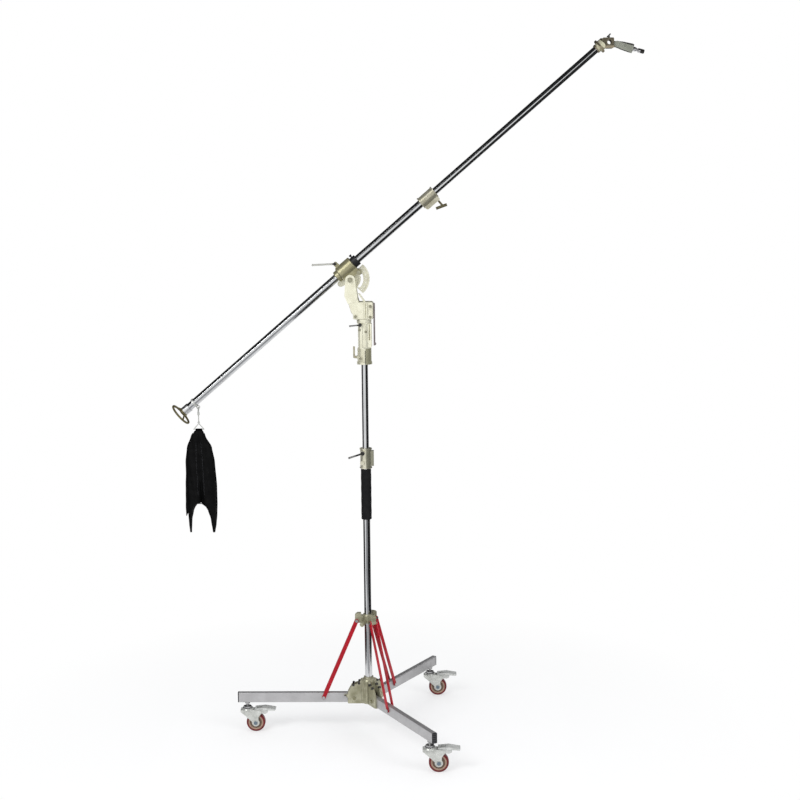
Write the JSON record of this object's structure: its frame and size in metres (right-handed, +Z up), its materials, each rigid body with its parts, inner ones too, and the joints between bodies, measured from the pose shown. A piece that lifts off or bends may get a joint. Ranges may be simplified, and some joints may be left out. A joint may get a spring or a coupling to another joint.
{
  "type": "wheeled boom stand with overhead arm",
  "caption": "Wheeled stand with folding braced legs and a tilting, sliding telescopic boom, a handwheel and a hanging sandbag at its tail and a grooved stud at its head.",
  "frame": {"origin": "point on the floor under the mast axis", "axes": "+Z up along the mast, +X towards the boom's high end, +Y square to the boom's plane"},
  "size_m": [1.8141, 0.9176, 2.7161],
  "materials": {
    "chrome_tube": "polished",
    "olive_casting": "satin",
    "head_casting": "satin",
    "leg_alloy": "satin",
    "zinc_plate": "satin",
    "bolt_steel": "satin",
    "red_strap": "gloss",
    "dark_lever": "satin",
    "bronze_handle": "satin",
    "black_plastic": "matte",
    "grip_foam": "matte",
    "red_tread": "satin",
    "wheel_core": "satin",
    "bag_fabric": "matte"
  },
  "bodies": {
    "base": {"base_hub": "olive_casting", "base_bolts": "bolt_steel", "mast_tube": "chrome_tube", "mast_collar": "olive_casting", "foam_grip": "grip_foam"},
    "mast_lock": {"mast_lock_handle": "dark_lever"},
    "collar": {"brace_collar": "olive_casting"},
    "riser": {"riser_tube": "chrome_tube", "head_socket": "head_casting", "head_column": "head_casting", "column_bolts": "bolt_steel"},
    "socket_lock": {"socket_handle": "dark_lever"},
    "pan_lock": {"pan_lock_handle": "dark_lever"},
    "arm": {"head_arm": "head_casting", "arm_bolts": "bolt_steel", "tilt_quadrant": "head_casting", "side_bar": "bolt_steel"},
    "tilt": {"boom_clamp": "head_casting", "tilt_lock_bolt": "bolt_steel"},
    "clamp_lock": {"clamp_lever": "dark_lever"},
    "hanger": {"hanger_eye": "zinc_plate"},
    "bag": {"snap_hook": "zinc_plate", "sandbag": "bag_fabric"},
    "boom": {"boom_tube": "chrome_tube", "handwheel": "bronze_handle", "stop_ring": "black_plastic", "boom_collar": "olive_casting"},
    "boom_lock": {"boom_lock_handle": "bronze_handle"},
    "inner": {"inner_tube": "chrome_tube", "end_receiver": "olive_casting"},
    "receiver_lock": {"receiver_screw": "bolt_steel"},
    "knuckle": {"end_knuckle": "olive_casting", "spigot": "chrome_tube"},
    "leg_1": {"leg_tube_1": "leg_alloy", "leg_cap_1": "black_plastic", "leg_hardware_1": "bolt_steel"},
    "brace_1": {"brace_straps_1": "red_strap", "brace_rivets_1": "bolt_steel"},
    "swivel_1": {"caster_fork_1": "zinc_plate"},
    "wheel_1": {"caster_tyre_1": "red_tread", "caster_core_1": "wheel_core"},
    "pedal_1": {"brake_pedal_1": "zinc_plate"},
    "leg_2": {"leg_tube_2": "leg_alloy", "leg_cap_2": "black_plastic", "leg_hardware_2": "bolt_steel"},
    "brace_2": {"brace_straps_2": "red_strap", "brace_rivets_2": "bolt_steel"},
    "swivel_2": {"caster_fork_2": "zinc_plate"},
    "wheel_2": {"caster_tyre_2": "red_tread", "caster_core_2": "wheel_core"},
    "pedal_2": {"brake_pedal_2": "zinc_plate"},
    "leg_3": {"leg_tube_3": "leg_alloy", "leg_cap_3": "black_plastic", "leg_hardware_3": "bolt_steel"},
    "brace_3": {"brace_straps_3": "red_strap", "brace_rivets_3": "bolt_steel"},
    "swivel_3": {"caster_fork_3": "zinc_plate"},
    "wheel_3": {"caster_tyre_3": "red_tread", "caster_core_3": "wheel_core"},
    "pedal_3": {"brake_pedal_3": "zinc_plate"}
  },
  "joints": [
    {"name": "leg_fold_1", "type": "hinge", "parent": "base", "child": "leg_1", "pos_m": [-0.058, 0, 0.14], "axis": [0, 1, 0], "range_deg": [0, 80]},
    {"name": "brace_swing_1", "type": "hinge", "parent": "collar", "child": "brace_1", "pos_m": [-0.044, 0, 0.456], "axis": [0, 1, 0], "range_deg": [-17.47, 0.05]},
    {"name": "caster_swivel_1", "type": "hinge", "parent": "leg_1", "child": "swivel_1", "pos_m": [-0.487, 0, 0.1], "axis": [0, 0, 1], "continuous": true},
    {"name": "wheel_spin_1", "type": "hinge", "parent": "swivel_1", "child": "wheel_1", "pos_m": [-0.454, 0, 0.0375], "axis": [0, 1, 0], "continuous": true},
    {"name": "brake_press_1", "type": "hinge", "parent": "swivel_1", "child": "pedal_1", "pos_m": [-0.443, 0, 0.082], "axis": [0, 1, 0], "range_deg": [0, 3]},
    {"name": "leg_fold_2", "type": "hinge", "parent": "base", "child": "leg_2", "pos_m": [0.029, -0.05023, 0.14], "axis": [-0.866, -0.5, 0], "range_deg": [0, 80]},
    {"name": "brace_swing_2", "type": "hinge", "parent": "collar", "child": "brace_2", "pos_m": [0.022, -0.0381, 0.456], "axis": [-0.866, -0.5, 0], "range_deg": [-17.47, 0.05]},
    {"name": "caster_swivel_2", "type": "hinge", "parent": "leg_2", "child": "swivel_2", "pos_m": [0.2435, -0.42175, 0.1], "axis": [0, 0, 1], "continuous": true},
    {"name": "wheel_spin_2", "type": "hinge", "parent": "swivel_2", "child": "wheel_2", "pos_m": [0.2765, -0.42175, 0.0375], "axis": [0, 1, 0], "continuous": true},
    {"name": "brake_press_2", "type": "hinge", "parent": "swivel_2", "child": "pedal_2", "pos_m": [0.2875, -0.42175, 0.082], "axis": [0, 1, 0], "range_deg": [0, 3]},
    {"name": "leg_fold_3", "type": "hinge", "parent": "base", "child": "leg_3", "pos_m": [0.029, 0.05023, 0.14], "axis": [0.866, -0.5, 0], "range_deg": [0, 80]},
    {"name": "brace_swing_3", "type": "hinge", "parent": "collar", "child": "brace_3", "pos_m": [0.022, 0.0381, 0.456], "axis": [0.866, -0.5, 0], "range_deg": [-17.47, 0.05]},
    {"name": "caster_swivel_3", "type": "hinge", "parent": "leg_3", "child": "swivel_3", "pos_m": [0.2435, 0.42175, 0.1], "axis": [0, 0, 1], "continuous": true},
    {"name": "wheel_spin_3", "type": "hinge", "parent": "swivel_3", "child": "wheel_3", "pos_m": [0.2765, 0.42175, 0.0375], "axis": [0, 1, 0], "continuous": true},
    {"name": "brake_press_3", "type": "hinge", "parent": "swivel_3", "child": "pedal_3", "pos_m": [0.2875, 0.42175, 0.082], "axis": [0, 1, 0], "range_deg": [0, 3]},
    {"name": "collar_slide", "type": "slide", "parent": "base", "child": "collar", "axis": [0, 0, 1], "range_m": [-0.0005, 0.1474]},
    {"name": "mast_lock_turn", "type": "hinge", "parent": "base", "child": "mast_lock", "pos_m": [-0.011, -0.035, 1.133], "axis": [0, 1, 0], "range_deg": [-35, 35]},
    {"name": "riser_slide", "type": "slide", "parent": "base", "child": "riser", "axis": [0, 0, 1], "range_m": [-0.32, 0.5]},
    {"name": "socket_lock_turn", "type": "hinge", "parent": "riser", "child": "socket_lock", "pos_m": [-0.03, -0.006, 1.507], "axis": [1, 0, 0], "range_deg": [-60, 60]},
    {"name": "pan_lock_turn", "type": "hinge", "parent": "riser", "child": "pan_lock", "pos_m": [-0.014, -0.032, 1.633], "axis": [0, 1, 0], "range_deg": [-12, 12]},
    {"name": "head_pan", "type": "hinge", "parent": "riser", "child": "arm", "pos_m": [0, 0, 1.653], "axis": [0, 0, 1], "range_deg": [-90, 190]},
    {"name": "boom_tilt", "type": "hinge", "parent": "arm", "child": "tilt", "pos_m": [-0.05, 0, 1.806], "axis": [0, -1, 0], "range_deg": [-84, 2.8]},
    {"name": "clamp_lock_turn", "type": "hinge", "parent": "tilt", "child": "clamp_lock", "pos_m": [-0.10879, -0.01, 1.86598], "axis": [0, 1, 0], "range_deg": [-20, 20]},
    {"name": "boom_slide", "type": "slide", "parent": "tilt", "child": "hanger", "axis": [0.7593, 0, 0.6508], "range_m": [0, 0.45]},
    {"name": "boom_roll", "type": "hinge", "parent": "hanger", "child": "boom", "pos_m": [-0.07623, 0, 1.8366], "axis": [0.7593, 0, 0.6508], "continuous": true},
    {"name": "bag_swing", "type": "hinge", "parent": "hanger", "child": "bag", "pos_m": [-0.6503, 0, 1.31427], "axis": [0, 1, 0], "range_deg": [-86, 15]},
    {"name": "boom_lock_turn", "type": "hinge", "parent": "boom", "child": "boom_lock", "pos_m": [0.28907, 0, 2.10188], "axis": [-0.6508, 0, 0.7593], "range_deg": [-60, 60]},
    {"name": "inner_slide", "type": "slide", "parent": "boom", "child": "inner", "axis": [0.7593, 0, 0.6508], "range_m": [-0.785, 0.29]},
    {"name": "receiver_lock_turn", "type": "hinge", "parent": "inner", "child": "receiver_lock", "pos_m": [0.92902, 0, 2.7], "axis": [0, 0, 1], "range_deg": [-180, 180]},
    {"name": "knuckle_tilt", "type": "hinge", "parent": "inner", "child": "knuckle", "pos_m": [0.95802, 0, 2.67604], "axis": [0, -1, 0], "range_deg": [-60, 60]}
  ],
  "couplings": [
    {"joint": "leg_fold_2", "follows": "leg_fold_1", "ratio": 1},
    {"joint": "leg_fold_3", "follows": "leg_fold_1", "ratio": 1},
    {"joint": "collar_slide", "follows": "leg_fold_1", "m_per_rad": 0.10483},
    {"joint": "brace_swing_1", "follows": "leg_fold_1", "ratio": -0.2177},
    {"joint": "brace_swing_2", "follows": "leg_fold_1", "ratio": -0.2177},
    {"joint": "brace_swing_3", "follows": "leg_fold_1", "ratio": -0.2177}
  ]
}
